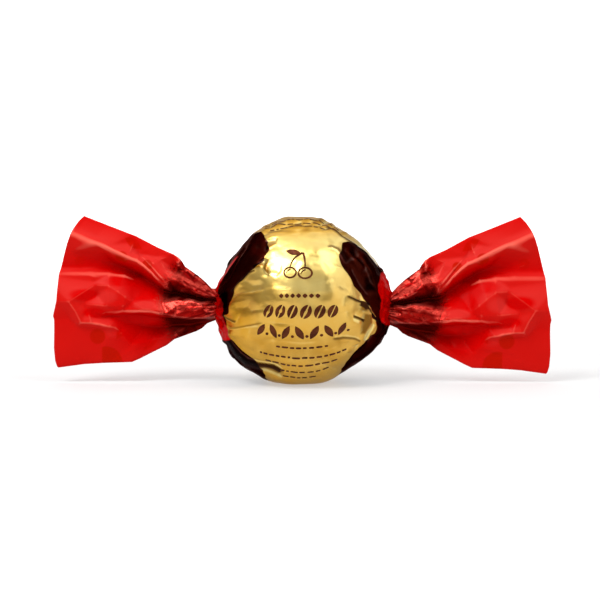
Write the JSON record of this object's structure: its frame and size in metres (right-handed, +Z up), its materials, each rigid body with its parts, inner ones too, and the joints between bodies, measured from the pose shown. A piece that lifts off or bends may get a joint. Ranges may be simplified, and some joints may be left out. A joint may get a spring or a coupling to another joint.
{
  "type": "wrapped chocolate truffle",
  "caption": "A round filled chocolate closed in glossy gold and dark brown film, gathered to a neck on each side and fanned out in flat pleated red tails.",
  "frame": {"origin": "middle of the small flat spot under the ball, on the surface that it rests on", "axes": "+X from the left tail to the right one as seen from the label's side, -Y out of the label, +Z up"},
  "size_m": [0.1132, 0.0384, 0.0379],
  "materials": {
    "gold_film": "thin metallised film, printed gold and dark brown, glossy and crumpled",
    "red_film": "thin printed film, satin red with a faint metallic sheen, pleated"
  },
  "bodies": {
    "root": {"wrapped_truffle": "gold_film"}
  },
  "joints": []
}
